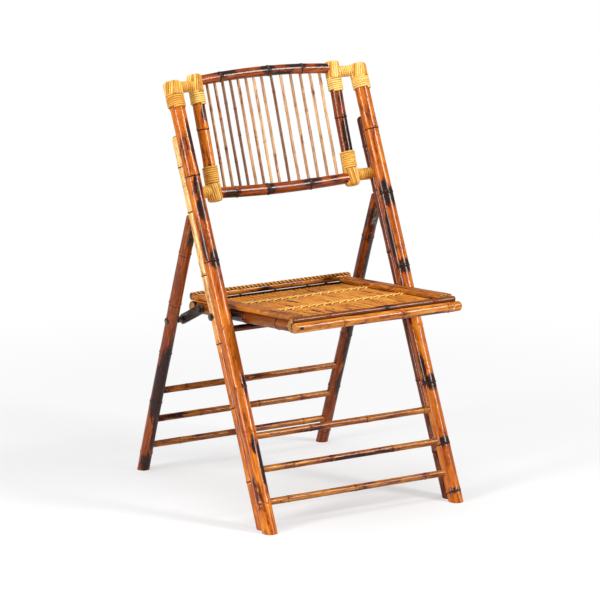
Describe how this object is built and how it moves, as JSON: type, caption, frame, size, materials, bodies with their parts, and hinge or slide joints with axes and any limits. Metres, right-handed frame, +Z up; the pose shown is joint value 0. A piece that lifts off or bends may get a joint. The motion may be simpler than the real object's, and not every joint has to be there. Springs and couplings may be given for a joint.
{
  "type": "folding chair",
  "caption": "Upright folding chair of burnt bamboo with a spindle back, slatted seat, cane-bound corners and hinged rear legs.",
  "frame": {"origin": "on the floor below the middle of the chair's width and depth", "axes": "+Z up, -Y the way the sitter faces, +X to the right of a viewer in front"},
  "size_m": [0.5034, 0.6378, 0.9091],
  "materials": {
    "bamboo_dark": "glossy varnish over scorched bamboo",
    "bamboo_rung": "glossy varnish",
    "bamboo_seat": "glossy varnish",
    "spindle": "satin varnish",
    "cane": "satin split cane",
    "steel": "dull zinc"
  },
  "bodies": {
    "front_frame": {"front_pole_left": "bamboo_dark", "backing_pole_left": "bamboo_dark", "front_pole_right": "bamboo_dark", "backing_pole_right": "bamboo_dark", "backing_nails": "steel", "front_rung_lower": "bamboo_rung", "front_rung_middle": "bamboo_rung", "front_rung_upper": "bamboo_rung", "front_stretcher": "bamboo_rung", "back_stile_left": "bamboo_dark", "back_stile_right": "bamboo_dark", "back_bottom_rail": "bamboo_dark", "back_top_rail": "bamboo_dark", "back_spindles": "spindle", "back_top_connector_left": "spindle", "back_bottom_connector_left": "spindle", "back_top_connector_right": "spindle", "back_bottom_connector_right": "spindle", "cane_winding_top_left": "cane", "cane_winding_bottom_left": "cane", "cane_winding_top_right": "cane", "cane_winding_bottom_right": "cane", "hinge_pole_leaf_left": "steel", "hinge_pole_leaf_right": "steel", "hinge_pole_screws": "steel", "hinge_pins": "steel", "seat_pivot_bolts": "steel", "seat_pivot_spacers": "steel", "seat_pivot_nuts": "steel"},
    "rear_frame": {"rear_rung_lower": "bamboo_rung", "rear_rung_middle": "bamboo_rung", "rear_rung_upper": "bamboo_rung", "rear_leg_left": "bamboo_dark", "hinge_leg_leaf_left": "steel", "rear_leg_right": "bamboo_dark", "hinge_leg_leaf_right": "steel", "hinge_leg_screws": "steel", "link_anchor_bolts": "steel", "link_anchor_spacers": "steel"},
    "seat": {"seat_side_rail_left": "bamboo_seat", "seat_side_rail_right": "bamboo_seat", "seat_nosing": "bamboo_seat", "seat_front_trim": "bamboo_seat", "seat_rear_rail": "bamboo_seat", "seat_rear_bar": "bamboo_seat", "seat_cross_bar_front": "bamboo_rung", "seat_cross_bar_second": "bamboo_rung", "seat_cross_bar_third": "bamboo_rung", "seat_cross_bar_rear": "bamboo_rung", "seat_border_board_left": "bamboo_seat", "seat_border_board_right": "bamboo_seat", "seat_slats": "bamboo_seat", "seat_cane_rows": "cane", "link_rivets": "steel"},
    "links": {"link_strap_left": "steel", "link_strap_right": "steel"}
  },
  "joints": [
    {"name": "rear_leg_fold", "type": "hinge", "parent": "front_frame", "child": "rear_frame", "pos_m": [0, 0.06101, 0.59119], "axis": [-1, 0, 0], "range_deg": [0, 37.16]},
    {"name": "seat_fold", "type": "hinge", "parent": "front_frame", "child": "seat", "pos_m": [0, -0.03358, 0.41923], "axis": [-1, 0, 0], "range_deg": [0, 98.05]},
    {"name": "link_fold", "type": "hinge", "parent": "seat", "child": "links", "pos_m": [0, 0.08438, 0.40683], "axis": [1, 0, 0], "range_deg": [0, 158.65]}
  ],
  "couplings": [
    {"joint": "seat_fold", "follows": "rear_leg_fold", "ratio": 2.6372},
    {"joint": "link_fold", "follows": "rear_leg_fold", "ratio": 4.268}
  ]
}
